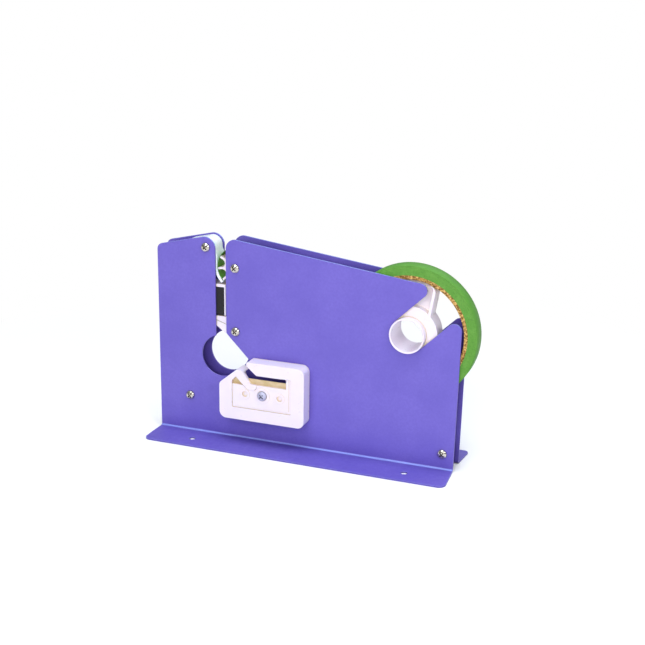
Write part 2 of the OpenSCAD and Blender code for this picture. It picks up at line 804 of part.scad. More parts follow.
// ---------- tape and its spool ----------
web_r = star_r + web_gap;
roll_r = roll_d / 2;
span = seat - star_at;
span_len = norm(span);
cross_turn = asin((web_r + web_t + roll_r + web_gap) / span_len);
web_dir = atan2(span[1], span[0]) - cross_turn;
web_normal = [-sin(web_dir), cos(web_dir)];
web_roll_end = seat - web_normal * (roll_r + web_gap);

function web_outline() = concat(
    [web_roll_end, web_roll_end - web_normal * web_t],
    arc(star_at, web_r, web_dir + 90, web_end, 36),
    arc(star_at, web_r + web_t, web_end, web_dir + 90, 36));

module tape_web() color("olivedrab") place() slab(-tape_w / 2, tape_w / 2) polygon(web_outline());

module roll_axle() color("white") place() difference() {
    bar(seat, -half_out - axle_out, half_out + axle_out, axle_d);
    bar(seat, -half_out - axle_out - eps, half_out + axle_out + eps, axle_d - 2 * axle_wall);
}

spool_half = half_gap - spool_side;
spool_out = core_bore_d / 2 - spool_fit_core;
// Half width of an arm at a height above the axle, and the height at which its side meets the core
function arm_half(z) = spool_root_half + z * tan(spool_flare);
arm_tip_z = let (t = tan(spool_flare), a = 1 + t * t, b = spool_root_half * t)
    (sqrt(b * b - a * (spool_root_half * spool_root_half - spool_out * spool_out)) - b) / a;

// Outline of an arm, drawn in from its sides by a wall
function arm_outline(wall, reach, turn) = rounded(concat([
    [-arm_half(0) + wall, 0, 0],
    [arm_half(0) - wall, 0, 0],
    [arm_half(arm_tip_z) - wall, arm_tip_z, turn]],
    [for (i = [-2:2]) [reach * sin(-i * 6), reach * cos(i * 6), 0]],
    [[-arm_half(arm_tip_z) + wall, arm_tip_z, turn]]));

module arm_window(a) rotate(a) difference() {
    polygon(arm_outline(spool_wall, spool_out + 1, spool_corner - spool_wall));
    circle(r = spool_hub_r);
}

module spool_shape() {
    circle(r = spool_hub_r);
    for (i = [0:spool_arms - 1]) rotate(i * 360 / spool_arms)
        polygon(arm_outline(0, spool_out, spool_corner));
}

module roll_spool() color("white") place() difference() {
    slab(-spool_half, spool_half) translate(seat) spool_shape();
    for (i = [0:spool_arms - 1]) {
        slab(-half_gap, -spool_web / 2) translate(seat) arm_window(i * 360 / spool_arms);
        slab(spool_web / 2, half_gap) translate(seat) arm_window(i * 360 / spool_arms);
    }
    bar(seat, -half_gap, half_gap, axle_d + 2 * spool_fit);
}

module tape_core() color("peru") place() difference() {
    bar(seat, -tape_w / 2, tape_w / 2, core_bore_d + 2 * core_wall);
    bar(seat, -half_gap, half_gap, core_bore_d);
}

module tape_roll() color("forestgreen") place() difference() {
    bar(seat, -tape_w / 2, tape_w / 2, roll_d);
    bar(seat, -half_gap, half_gap, core_bore_d + 2 * core_wall);
}

front_plate();
rear_plate();
plate_spacers();
front_screws();
rear_screws();
stop_pins();
guide_block();
star_wheel();
press_arm();
press_pad();
press_spring();
cutter_lever();
cutter_blade();
blade_rivet();
cutter_spring();
trimmer_box();
trimmer_cover();
trimmer_blade();
trimmer_screw();
trimmer_nut();
tape_web();
roll_axle();
roll_spool();
tape_core();
tape_roll();
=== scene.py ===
# %% [markdown]
# # Dressing a bag neck sealer
#
# The machine is two bent steel plates with a small tape mechanism between them. The solid parts
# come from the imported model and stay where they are. This lesson gives each of them its finish,
# and adds the finer forms that a solid model leaves plain: eased edges, wound tape, coiled wire.
# Every length is in metres, in the model's own frame: X along the base, Y to the back, Z up.
# Small lengths are written as millimetres times `MM`.

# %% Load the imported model
import bpy
import bmesh
import math
import random
from mathutils import Matrix, Vector


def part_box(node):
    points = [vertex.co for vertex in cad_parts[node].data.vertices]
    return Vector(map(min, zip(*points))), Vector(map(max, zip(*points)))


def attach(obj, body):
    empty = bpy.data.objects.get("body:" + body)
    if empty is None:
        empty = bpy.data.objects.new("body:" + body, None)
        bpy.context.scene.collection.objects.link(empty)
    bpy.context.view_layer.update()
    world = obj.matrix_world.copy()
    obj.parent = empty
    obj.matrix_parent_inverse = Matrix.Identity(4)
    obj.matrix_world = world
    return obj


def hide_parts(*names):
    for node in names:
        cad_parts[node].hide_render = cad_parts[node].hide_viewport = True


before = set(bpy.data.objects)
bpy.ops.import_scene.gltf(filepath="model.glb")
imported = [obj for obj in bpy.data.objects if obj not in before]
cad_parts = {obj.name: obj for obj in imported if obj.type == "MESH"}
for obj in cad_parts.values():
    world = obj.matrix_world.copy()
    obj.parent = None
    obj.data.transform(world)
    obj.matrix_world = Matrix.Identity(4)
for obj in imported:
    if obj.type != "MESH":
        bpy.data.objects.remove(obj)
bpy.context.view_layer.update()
MM = 0.001

# %% [markdown]
# ## The camera
#
# The camera stands in front of the machine, to the right of its middle and a little above it.
# The place was found by matching the edges of the plates, so it is set as a point and three
# angles: swing round the upright axis, tilt downwards and a small roll. A long lens keeps the
# plates' edges nearly parallel. Matching by edges is more exact than turning a camera by eye.

# %% Camera
PICTURE_SIDE = 645
FOCAL_PIXELS = 1202.9
NEAREST_SEEN, FARTHEST_SEEN = 0.01, 20.0
camera_place = Vector((293.9, -750.6, 335.1)) * MM
camera_swing, camera_tilt, camera_roll = (math.radians(a) for a in (20.64, 16.73, 0.81))

back = Vector((math.sin(camera_swing) * math.cos(camera_tilt),
               -math.cos(camera_swing) * math.cos(camera_tilt),
               math.sin(camera_tilt)))
flat_right = Vector((math.cos(camera_swing), math.sin(camera_swing), 0))
flat_up = back.cross(flat_right)
right = flat_right * math.cos(camera_roll) + flat_up * math.sin(camera_roll)
up = -flat_right * math.sin(camera_roll) + flat_up * math.cos(camera_roll)

lens = bpy.data.cameras.new("studio_camera")
lens.sensor_width = 36.0
lens.lens = FOCAL_PIXELS / PICTURE_SIDE * lens.sensor_width
lens.clip_start, lens.clip_end = NEAREST_SEEN, FARTHEST_SEEN
studio_camera = bpy.data.objects.new("studio_camera", lens)
bpy.context.collection.objects.link(studio_camera)
studio_camera.matrix_world = Matrix((
    (right.x, up.x, back.x, camera_place.x),
    (right.y, up.y, back.y, camera_place.y),
    (right.z, up.z, back.z, camera_place.z),
    (0, 0, 0, 1)))
bpy.context.scene.camera = studio_camera
print("lens", round(lens.lens, 2), "mm")

# %% [markdown]
# ## Colours
#
# A colour is easiest to judge as it looks on a screen, from 0 to 255. The shader wants linear
# light instead, so one small function turns the first into the second. Typing linear values by
# hand would work too, but nobody can picture them.

# %% Screen colours
def linear(red, green, blue):
    """Turns a colour as seen on a screen, 0 to 255, into the shader's linear values."""
    def one(c):
        c /= 255
        return c / 12.92 if c <= 0.04045 else ((c + 0.055) / 1.055) ** 2.4
    return (one(red), one(green), one(blue), 1.0)


print("a middle grey on the screen is", round(linear(128, 128, 128)[0], 3), "in the shader")

# %% [markdown]
# ## Helpers for finishes
#
# Each finish is one Principled shader. A value that is the same all over a surface is written on
# the shader's own socket. Only what changes over the surface, such as mottle, grain or fine
# bumps, comes from texture nodes, in object space, so that it keeps its size on every part.
# The helpers could be loose functions, but a small class keeps a material and its nodes together.

# %% Nodes and finishes
USUAL_NOISE = (0.3, 0.7)    # a noise value seldom leaves this range
HOLLOW_SAMPLES = 8


def add_node(tree, kind, **values):
    """Adds a node. A value goes to the input of that name, or else to the node's own setting."""
    made = tree.nodes.new(kind)
    for name, value in values.items():
        socket = name.replace("_", " ")
        if socket in made.inputs:
            made.inputs[socket].default_value = value
        else:
            setattr(made, name, value)
    return made


class Finish:
    """A material with one Principled shader, and short calls for what varies over it."""

    def __init__(self, name, colour, roughness, metallic=0.0, **sockets):
        self.material = bpy.data.materials.new(name)
        self.material.use_nodes = True
        self.tree = self.material.node_tree
        self.join = self.tree.links.new
        self.shader = self.tree.nodes["Principled BSDF"]
        self.colour = colour
        even = dict(sockets, Base_Color=colour, Roughness=roughness, Metallic=metallic)
        for socket, value in even.items():
            self.shader.inputs[socket.replace("_", " ")].default_value = value
        self.where = self.node("ShaderNodeTexCoord").outputs["Object"]

    def node(self, kind, **values):
        """Adds a node to this material."""
        return add_node(self.tree, kind, **values)

    def noise(self, size, detail, stretch=None):
        """A cloudy value whose blobs are about `size` across, optionally stretched."""
        cloud = self.node("ShaderNodeTexNoise", Scale=1 / size, Detail=detail)
        source = self.where
        if stretch:
            squeeze = self.node("ShaderNodeMapping", Scale=stretch)
            self.join(self.where, squeeze.inputs["Vector"])
            source = squeeze.outputs["Vector"]
        self.join(source, cloud.inputs["Vector"])
        return cloud.outputs["Fac"]

    def hollows(self, width):
        """One in the open, falling to zero in corners and recesses about `width` wide."""
        return self.node("ShaderNodeAmbientOcclusion", samples=HOLLOW_SAMPLES,
                         Distance=width).outputs["AO"]

    def remap(self, value, low, high, out_low, out_high):
        """Spreads the part of a value between two levels over another range."""
        span = self.node("ShaderNodeMapRange", From_Min=low, From_Max=high,
                         To_Min=out_low, To_Max=out_high)
        self.join(value, span.inputs["Value"])
        return span.outputs["Result"]

    def tint(self, value, other, amount=1.0):
        """Blends the present colour towards another one where the value is high."""
        blend = self.node("ShaderNodeMix", data_type="RGBA", A=self.colour, B=other)
        colour_in = self.shader.inputs["Base Color"]
        if colour_in.is_linked:
            self.join(colour_in.links[0].from_socket, blend.inputs["A"])
        self.join(self.remap(value, 0, 1, 0, amount), blend.inputs["Factor"])
        self.join(blend.outputs["Result"], colour_in)

    def mottle(self, pattern, low, high, other, amount):
        """Tints towards another colour where a pattern rises from `low` to `high`."""
        self.tint(self.remap(pattern, low, high, 0, 1), other, amount)

    def paint_hollow_shade(self, width, low, high, other, amount):
        """Painted shade: tints corners and recesses about `width` wide towards another colour."""
        self.tint(self.remap(self.hollows(width), low, high, 1, 0), other, amount)

    def rough(self, pattern, low, high):
        """Lets the roughness wander between two values."""
        self.join(self.remap(pattern, *USUAL_NOISE, low, high), self.shader.inputs["Roughness"])

    def bumps(self, pattern, strength, height):
        """Adds fine bumps of a given height on top of the bumps that are already there."""
        bump = self.node("ShaderNodeBump", Strength=strength, Distance=height)
        self.join(pattern, bump.inputs["Height"])
        normal_in = self.shader.inputs["Normal"]
        if normal_in.is_linked:
            self.join(normal_in.links[0].from_socket, bump.inputs["Normal"])
        self.join(bump.outputs["Normal"], normal_in)


print("finish helpers ready")

# %% [markdown]
# ## Purple enamel
#
# The side plates are bent sheet steel with a baked violet enamel. It is satin, not glossy: a
# faint orange-peel texture a few tenths of a millimetre wide and a slight cloudiness of tone. The
# narrow edges and folds that look upwards get their own lighter, glossier enamel, a painted
# highlight for the light that they catch from above. Between the plates little light is left, and
# the enamel there is painted darker, a painted shade. A clear coat over a mottled base would look
# like car paint, so one rough layer with fine bumps is used.

# %% Enamel
SHADED_VIOLET = linear(58, 43, 128)


def enamelled(name, colour, light, deep, roughness):
    """Satin enamel with fine mottle, broad clouds, and painted shade where it is closed in."""
    coat = Finish(name, colour, roughness, Specular_IOR_Level=0.42)
    coat.mottle(coat.noise(1.6 * MM, 4), 0.35, 0.7, light, 0.5)
    coat.mottle(coat.noise(30 * MM, 2), 0.4, 0.65, deep, 0.45)
    # Painted shade: the enamel turns a darker violet where it is closed in, as between the
    # plates.
    coat.paint_hollow_shade(25 * MM, 0.3, 0.68, SHADED_VIOLET, 0.85)
    coat.rough(coat.noise(4 * MM, 3), roughness - 0.06, roughness + 0.08)
    coat.bumps(coat.noise(0.6 * MM, 2), 0.25, 0.08 * MM)
    return coat


enamel = enamelled("violet_enamel", linear(105, 92, 186),
                   light=linear(117, 104, 197), deep=linear(95, 83, 178), roughness=0.42)
# A lighter, glossier enamel for the upward-facing narrow faces and folds: a painted highlight.
highlight_enamel = enamelled("violet_enamel_painted_highlight", linear(128, 140, 216),
                        light=linear(140, 154, 224), deep=linear(116, 128, 210), roughness=0.34)
print("finishes:", enamel.material.name, highlight_enamel.material.name)

# %% [markdown]
# ## Moulded plastics
#
# The trimmer box, the levers, the wheel, the spool and its tube are white moulded plastic with a
# little gloss. Its colour carries a trace of violet, a painted reflection of the plates beside
# them.
# The guide block is the same plastic in a cooler tone. Moulded plastic is never dead flat: it has
# shallow sink marks some millimetres wide and a very fine grain from the tool. In deep corners
# and recesses the plastic gets a warm painted shade, found by how closed in each point is. The
# shade could be painted on by hand, but then it would have to be painted again after each change
# of shape.

# %% Plastics
def moulded(name, colour, shade, hollow_shade, roughness):
    """Moulded plastic with sink marks, the tool's grain, and painted shade in its corners."""
    plastic = Finish(name, colour, roughness, Specular_IOR_Level=0.5,
                     Subsurface_Weight=0.06, Subsurface_Scale=0.002)
    plastic.mottle(plastic.noise(12 * MM, 3), 0.4, 0.7, shade, 0.5)
    # Painted shade: a warm tone in corners and recesses, wide and narrow.
    plastic.paint_hollow_shade(9 * MM, 0.15, 0.7, hollow_shade, 0.6)
    plastic.paint_hollow_shade(1.8 * MM, 0.45, 0.9, hollow_shade, 0.7)
    plastic.rough(plastic.noise(3 * MM, 2), roughness - 0.05, roughness + 0.08)
    plastic.bumps(plastic.noise(9 * MM, 1), 0.12, 0.3 * MM)
    plastic.bumps(plastic.noise(0.35 * MM, 2), 0.1, 0.05 * MM)
    return plastic


# The violet trace in this white is a painted reflection of the plates beside it.
white_plastic = moulded("white_moulding", linear(233, 224, 237), shade=linear(226, 216, 232),
                        hollow_shade=linear(222, 202, 164), roughness=0.32)
cool_plastic = moulded("cool_white_moulding", linear(238, 244, 247), shade=linear(228, 238, 243),
                       hollow_shade=linear(206, 224, 222), roughness=0.28)
print("finishes:", white_plastic.material.name, cool_plastic.material.name)

# %% [markdown]
# ## Black rubber
#
# The pad that the bag's neck is pulled against is soft black rubber, matt, with a pressed grain.
# A plain dark colour would look like a hole, so a greyer mottle and bumps show its surface.

# %% Rubber
rubber = Finish("pad_rubber", linear(30, 29, 32), 0.72, Specular_IOR_Level=0.35)
rubber.mottle(rubber.noise(0.8 * MM, 4), 0.45, 0.75, linear(48, 46, 48), 0.5)
rubber.bumps(rubber.noise(0.5 * MM, 3), 0.5, 0.1 * MM)
print("finish:", rubber.material.name)

# %% [markdown]
# ## Plated screws
#
# The screws in the plates are nickel plated and reflect the room, with painted shade, dark and
# brownish, in the cross recess. The one in the trimmer has a matt, bluish zinc plating, with a
# greyer painted shade in its cross. The shade could be a second material in the cross, but it
# would end in a hard line. The hollow-finding node that the plastics use lets it fade out, at the
# width of the recess.

# %% Platings
nickel = Finish("nickel_plate", linear(206, 200, 188), 0.2, metallic=1.0)
nickel.rough(nickel.noise(1 * MM, 3), 0.12, 0.26)
nickel.bumps(nickel.noise(0.7 * MM, 2), 0.15, 0.05 * MM)
# Painted shade in the cross recess.
nickel.paint_hollow_shade(1.6 * MM, 0.45, 0.97, linear(40, 28, 14), 0.97)

zinc = Finish("blue_zinc_plate", linear(184, 184, 206), 0.6, metallic=0.5)
zinc.rough(zinc.noise(1 * MM, 3), 0.54, 0.68)
zinc.bumps(zinc.noise(0.7 * MM, 2), 0.15, 0.05 * MM)
# Painted shade in the cross recess.
zinc.paint_hollow_shade(1.2 * MM, 0.3, 0.8, linear(70, 68, 84), 0.85)
print("platings:", nickel.material.name, zinc.material.name)

# %% [markdown]
# ## Turned, ground and drawn steel
#
# The spacers, pins and nut are turned steel with fine lines round them. The blades are thin
# ground strip: the grinding leaves lines in one direction, so the noise is squeezed across them.
# The shader's anisotropy could draw such lines too, but it needs a direction on the mesh, which
# the solids don't carry. The trimmer's blade is tinted like brass, and the springs are bright
# drawn wire.

# %% Steels
TURNING_LINES, TURNING_GROOVES = (1, 14, 1), (1, 16, 1)
GROUND_ACROSS_Y, GROUND_ACROSS_X = (1, 12, 1), (12, 1, 1)

turned_steel = Finish("turned_steel", linear(176, 176, 180), 0.34, metallic=1.0)
turned_steel.rough(turned_steel.noise(2 * MM, 2, TURNING_LINES), 0.26, 0.44)
turned_steel.bumps(turned_steel.noise(2 * MM, 2, TURNING_GROOVES), 0.2, 0.04 * MM)

ground_steel = Finish("ground_blade", linear(188, 180, 166), 0.3, metallic=1.0)
ground_steel.rough(ground_steel.noise(1.2 * MM, 3, GROUND_ACROSS_Y), 0.22, 0.42)
ground_steel.bumps(ground_steel.noise(1.2 * MM, 2, GROUND_ACROSS_Y), 0.25, 0.03 * MM)

brassy_steel = Finish("tinted_blade", linear(206, 184, 140), 0.45, metallic=0.6)
brassy_steel.mottle(brassy_steel.noise(6 * MM, 2), 0.4, 0.65, linear(222, 200, 168), 0.8)
brassy_steel.rough(brassy_steel.noise(1.2 * MM, 3, GROUND_ACROSS_X), 0.38, 0.54)
brassy_steel.bumps(brassy_steel.noise(1.2 * MM, 2, GROUND_ACROSS_X), 0.2, 0.03 * MM)

spring_steel = Finish("spring_wire", linear(150, 150, 156), 0.3, metallic=1.0)
spring_steel.rough(spring_steel.noise(1.5 * MM, 3), 0.22, 0.4)
spring_steel.bumps(spring_steel.noise(0.8 * MM, 2), 0.2, 0.03 * MM)
print("steels:", [steel.material.name
                  for steel in (turned_steel, ground_steel, brassy_steel, spring_steel)])

# %% [markdown]
# ## Green tape
#
# Seen from the side, a roll of tape is a stack of hundreds of turns, so its flat face shows fine
# rings that run round the centre. The distance from the roll's centre drives the rings, through
# a one-dimensional noise, which has no seam. A wave texture could make rings too, but all of one
# width. The tread is smooth and a little lighter.

# %% Tape
def rings(finish, width, detail):
    """Uneven rings round the piece's own Y axis. The piece's origin is the roll's centre."""
    flat = finish.node("ShaderNodeVectorMath", operation="MULTIPLY")
    flat.inputs[1].default_value = (1, 0, 1)
    finish.join(finish.where, flat.inputs[0])
    radius = finish.node("ShaderNodeVectorMath", operation="LENGTH")
    finish.join(flat.outputs["Vector"], radius.inputs[0])
    line = finish.node("ShaderNodeTexNoise", noise_dimensions="1D", Scale=1 / width,
                       Detail=detail)
    finish.join(radius.outputs["Value"], line.inputs["W"])
    return line.outputs["Fac"]


tape_side = Finish("green_tape_side", linear(92, 150, 54), 0.6, Specular_IOR_Level=0.3)
tape_side.mottle(rings(tape_side, 0.35 * MM, 3), 0.35, 0.7, linear(76, 132, 50), 0.7)
tape_side.mottle(tape_side.noise(4 * MM, 3), 0.4, 0.7, linear(104, 158, 66), 0.6)
tape_side.mottle(tape_side.noise(1.2 * MM, 2), 0.5, 0.72, linear(66, 116, 44), 0.45)
tape_side.bumps(rings(tape_side, 0.3 * MM, 2), 0.5, 0.1 * MM)

tape_tread = Finish("green_tape_face", linear(88, 150, 54), 0.58, Specular_IOR_Level=0.3)
tape_tread.mottle(tape_tread.noise(6 * MM, 3), 0.4, 0.7, linear(98, 160, 62), 0.5)
tape_tread.rough(tape_tread.noise(3 * MM, 2), 0.52, 0.66)
tape_tread.bumps(tape_tread.noise(4 * MM, 2, (1, 0.3, 1)), 0.15, 0.2 * MM)
print("tape:", tape_side.material.name, tape_tread.material.name)

# %% [markdown]
# ## Brown board
#
# The core is brown board. Its cut edge shows dark and light flecks about a millimetre long, so
# two noises of nearly that size are laid over a middle brown, one darker and one lighter. One
# noise with two colours would put each light fleck next to a dark one.

# %% Board
board = Finish("paper_core", linear(178, 138, 76), 0.85, Specular_IOR_Level=0.2)
board.mottle(board.noise(1.1 * MM, 3), 0.42, 0.56, linear(96, 62, 26), 0.85)
board.mottle(board.noise(1.4 * MM, 2), 0.5, 0.64, linear(232, 190, 118), 0.85)
board.bumps(board.noise(0.6 * MM, 3), 0.6, 0.2 * MM)
print("finish:", board.material.name)

# %% [markdown]
# ## New pieces
#
# A few steps are the same for each new piece: link it, give it a finish, let it move with a body,
# hide the solid that it stands for, and shade it smoothly up to a certain angle. They could be
# repeated for each piece, but written once they can't come to differ.


def dress(piece, finish):
    """Gives every face of a piece one finish."""
    piece.data.materials.clear()
    piece.data.materials.append(finish.material)
    for face in piece.data.polygons:
        face.material_index = 0


def smooth_by_angle(piece, degrees=30):
    """Smooth shading that stays crisp where faces meet at more than the angle."""
    for face in piece.data.polygons:
        face.use_smooth = True
    piece.data.set_sharp_from_angle(angle=math.radians(degrees))


def add_piece(name, shape):
    """Makes an object of a bmesh."""
    mesh = bpy.data.meshes.new(name)
    shape.to_mesh(mesh)
    shape.free()
    piece = bpy.data.objects.new(name, mesh)
    bpy.context.collection.objects.link(piece)
    return piece


def stand_in(piece, node, body, finish):
    """Finishes a piece, lets it move with a body, and hides the node that it stands for."""
    dress(piece, finish)
    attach(piece, body)
    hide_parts(node)
    print(f"{piece.name}: {len(piece.data.polygons)} faces, stands for {node}")


# %% [markdown]
# ## Easing the edges
#
# Sheet metal that has been cut and enamelled, and plastic that has come out of a mould, never
# has a knife edge. A copy of the solid gets its flat faces joined and its sharp edges rounded by
# a bevel of a fraction of a millimetre, and stands for the node. A bump in the material could
# fake it, but the light along a real rounded edge is right from every side and the mesh is kept.

# %% Eased copies
SAME_POINT = 0.001 * MM
FLAT_DEGREES = 0.4
SHARP_DEGREES = 32
SMOOTH_DEGREES = 40


def eased(node, name, width, steps, finish, body="frame", level_faces=True):
    """A copy of a node with rounded edges that stands for that node."""
    shape = bmesh.new()
    shape.from_mesh(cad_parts[node].data)
    bmesh.ops.remove_doubles(shape, verts=shape.verts, dist=SAME_POINT)
    bmesh.ops.dissolve_limit(shape, angle_limit=math.radians(FLAT_DEGREES), verts=shape.verts,
                             edges=shape.edges)
    piece = add_piece(name, shape)
    soften = piece.modifiers.new("ease", "BEVEL")
    soften.width = width
    soften.segments = steps
    soften.limit_method = "ANGLE"
    soften.angle_limit = math.radians(SHARP_DEGREES)
    soften.use_clamp_overlap = True
    soften.miter_outer = "MITER_ARC"
    smooth_by_angle(piece, SMOOTH_DEGREES)
    if level_faces:
        piece.modifiers.new("level", "WEIGHTED_NORMAL").keep_sharp = True
    bpy.context.view_layer.update()
    state = bpy.context.evaluated_depsgraph_get()
    ready = bpy.data.meshes.new_from_object(piece.evaluated_get(state), depsgraph=state,
                                            preserve_all_data_layers=True)
    piece.modifiers.clear()
    piece.data = ready
    ready.name = name
    stand_in(piece, node, body, finish)
    return piece


print("edges sharper than", SHARP_DEGREES, "degrees are eased")

# %% [markdown]
# ## The side plates
#
# Both plates get eased edges. Their narrow faces that look upwards take the lighter enamel, a
# painted highlight for the light they catch. They could be picked by hand, but a rule finds them
# again after each change of the model. They are found by their direction: not level, as the
# flanges are, not facing front or back, as the sheet does, and not in the round hole, whose edge
# keeps the plain enamel.

# %% Side plates
ROUND_HOLE = Vector((-64.05, 61.6)) * MM
HOLE_RADIUS, HOLE_RIM = 15.3 * MM, 1 * MM
LOWEST_RISE, LEVEL_RISE, FACING_FRONT = 0.25, 0.995, 0.97

for plate in (eased("front_plate", "front_plate_enamelled", 0.25 * MM, 2, enamel),
              eased("rear_plate", "rear_plate_enamelled", 0.25 * MM, 2, enamel)):
    plate.data.materials.append(highlight_enamel.material)
    for face in plate.data.polygons:
        is_raised = LOWEST_RISE < face.normal.z < LEVEL_RISE
        is_narrow = abs(face.normal.y) < FACING_FRONT
        in_hole = (face.center.xz - ROUND_HOLE).length < HOLE_RADIUS + HOLE_RIM
        # Upward-facing narrow faces outside the round hole take the painted highlight.
        face.material_index = int(is_raised and is_narrow and not in_hole)
    print(plate.name, "lighter faces:", sum(face.material_index for face in plate.data.polygons))

# %% [markdown]
# ## The moulded parts and the pad
#
# Each moulding has its own edge radius: the trimmer box has the softest corners, and its cover is
# a thin plate with the smallest ones. The spool is full of thin ribs. A wide bevel would eat
# them and levelled normals would darken them, so it gets one narrow bevel and nothing else.

# %% Mouldings and pad
eased("guide_block", "guide_moulding", 0.3 * MM, 2, cool_plastic)
eased("star_wheel", "star_wheel_moulding", 0.3 * MM, 2, white_plastic, "star")
eased("press_arm", "press_arm_moulding", 0.3 * MM, 2, white_plastic, "press")
eased("press_pad", "press_pad_rubber", 0.35 * MM, 2, rubber, "press")
eased("cutter_lever", "cutter_lever_moulding", 0.25 * MM, 2, white_plastic, "cutter")
eased("trimmer_box", "trimmer_box_moulding", 0.5 * MM, 3, white_plastic)
eased("trimmer_cover", "trimmer_cover_moulding", 0.15 * MM, 2, white_plastic)
eased("roll_spool", "roll_spool_moulding", 0.1 * MM, 1, white_plastic, "spool",
      level_faces=False)
eased("roll_axle", "roll_axle_moulding", 0.35 * MM, 3, white_plastic, "axle")

# %% [markdown]
# ## Metal parts
#
# The screws, spacers, pins, nut, rivet and blades are already the right shape, so the nodes stay
# and only get their finish. They could be eased as well, but that would add many small faces that
# hardly show at their size.

# %% Metal parts
for node, finish in {
        "front_screws": nickel, "rear_screws": nickel, "trimmer_screw": zinc,
        "plate_spacers": turned_steel, "stop_pins": turned_steel, "trimmer_nut": turned_steel,
        "blade_rivet": turned_steel, "cutter_blade": ground_steel,
        "trimmer_blade": brassy_steel}.items():
    dress(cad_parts[node], finish)
    smooth_by_angle(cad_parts[node])
    print(node, "gets", finish.material.name)

# %% [markdown]
# ## The roll's sizes
#
# The wound tape and its core are measured from the solids that they stand for. Their sizes could
# be typed in, but measured ones follow any change of the model. Only the core's bore is a number
# of its own: the standard 76 mm, so 38 mm from the middle.

# %% Measuring the roll
BORE_RADIUS = 38.0 * MM
core_low, core_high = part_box("tape_core")
roll_low, roll_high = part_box("tape_roll")
roll_centre = (core_low + core_high) / 2
core_outer = (core_high.x - core_low.x) / 2
roll_outer = (roll_high.x - roll_low.x) / 2
tape_half = (roll_high.y - roll_low.y) / 2
tape_depth = roll_outer - core_outer
print("wound tape:", round(tape_depth / MM, 2), "mm deep,", round(2 * tape_half / MM, 2), "wide")

# %% [markdown]
# ## Skins over rows of points
#
# The roll, the core, the stretch of tape and the wires are all made in the same way: rows of
# points, each joined to the next. A turned piece closes on itself, and a rod gets a cap at each
# end. Blender's screw modifier or a curve with a bevel could do parts of this, but one short
# function gives clean faces in every case.

# %% Skin and lathe
LATHE_STEPS = 160
LATHE_SMOOTH_DEGREES = 35


def skin(name, rows, closed=False):
    """Joins rows of points into a closed ring, or into a rod with capped ends."""
    shape = bmesh.new()
    rows = [[shape.verts.new(point) for point in row] for row in rows]
    for a, b in zip(rows, rows[1:] + rows[:1] if closed else rows[1:]):
        for k in range(len(a)):
            following = (k + 1) % len(a)
            shape.faces.new((a[k], a[following], b[following], b[k]))
    if not closed:
        shape.faces.new(reversed(rows[0]))
        shape.faces.new(rows[-1])
    bmesh.ops.recalc_face_normals(shape, faces=shape.faces)
    return add_piece(name, shape)


def lathe(name, profile, finish, node):
    """Turns a closed (radius, y) profile about the roll's axis. The piece goes with the spool."""
    angles = [math.tau * i / LATHE_STEPS for i in range(LATHE_STEPS)]
    piece = skin(name, [[(r * math.cos(a), y, r * math.sin(a)) for r, y in profile]
                        for a in angles], closed=True)
    piece.location = roll_centre
    smooth_by_angle(piece, LATHE_SMOOTH_DEGREES)
    stand_in(piece, node, "spool", finish)
    return piece


print("one lathe step:", round(math.tau * roll_outer / LATHE_STEPS / MM, 2), "mm on the roll")

# %% [markdown]
# ## The wound tape
#
# The tape's side is not a perfect plane: neighbouring turns stand proud of each other by a few
# hundredths of a millimetre, so the profile has many small steps. Bumps in the material could
# show them, but then the mesh would stay a plain ring. The steps are drawn from a seeded dice, so
# the roll is the same in each run. The tread's corners are slightly rounded.

# %% Wound tape
TURNS_SHOWN = 22
DEEPEST_TURN = 0.09 * MM
TURN_GAP = 0.04 * MM
TREAD_ROUND = 0.1 * MM
TREAD_INSET = 0.15 * MM
TREAD_BAND = 0.06 * MM
FACING_OUT = 0.5

dice = random.Random(7)
side_steps = []
for i in range(TURNS_SHOWN):
    inner = core_outer + tape_depth * i / TURNS_SHOWN
    outer = core_outer + tape_depth * (i + 1) / TURNS_SHOWN
    face_y = tape_half - dice.uniform(0.0, DEEPEST_TURN)
    side_steps += [(inner + TURN_GAP, face_y), (outer - TURN_GAP, face_y)]
side_steps[-1] = (roll_outer - TREAD_ROUND, side_steps[-1][1])
tape_profile = (
    [(r, -y) for r, y in side_steps]
    + [(roll_outer, -tape_half + TREAD_INSET), (roll_outer, tape_half - TREAD_INSET)]
    + [(r, y) for r, y in reversed(side_steps)])

wound_tape = lathe("wound_tape", tape_profile, tape_side, "tape_roll")
wound_tape.data.materials.append(tape_tread.material)
for face in wound_tape.data.polygons:
    is_tread = face.center.xz.length > roll_outer - TREAD_BAND
    face.material_index = int(is_tread and abs(face.normal.y) < FACING_OUT)
print("faces of the tread:", sum(face.material_index for face in wound_tape.data.polygons))

# %% [markdown]
# ## The paper core
#
# The core's edge is cut board, slightly rounded, so its profile is a long box with four small
# cut corners. A bevel on a plain tube would give the same, but the lathe does it in one step.

# %% Paper core
CORNER = 0.3 * MM
core_corners = [(BORE_RADIUS, tape_half - CORNER), (BORE_RADIUS + CORNER, tape_half),
                (core_outer - CORNER, tape_half), (core_outer, tape_half - CORNER)]
lathe("paper_core_tube", [(r, -y) for r, y in core_corners] + core_corners[::-1],
      board, "tape_core")

# %% [markdown]
# ## The stretch of tape
#
# From the roll the tape runs to the toothed wheel, over it and down the finger. It is a film a
# few hundredths of a millimetre thick. The solid that stands for it is thicker, so the film is
# laid along the middle of that solid, a thin ribbon with a real thickness, which catches light on
# both sides. Its straight part is the line that touches the roll from below and the wheel from
# above. Cloth simulation could find the path too, but a taut film has only one way to lie.

# %% The tape's path
WHEEL_CENTRE = Vector((-52.8, 127.6)) * MM
WEB_RADIUS = 14.42 * MM
LINE_CLEARANCE, END_CLEARANCE = 0.3 * MM, 0.35 * MM
LAST_DEGREES = 224
STRAIGHT_STEPS, ROUND_STEPS = 24, 40

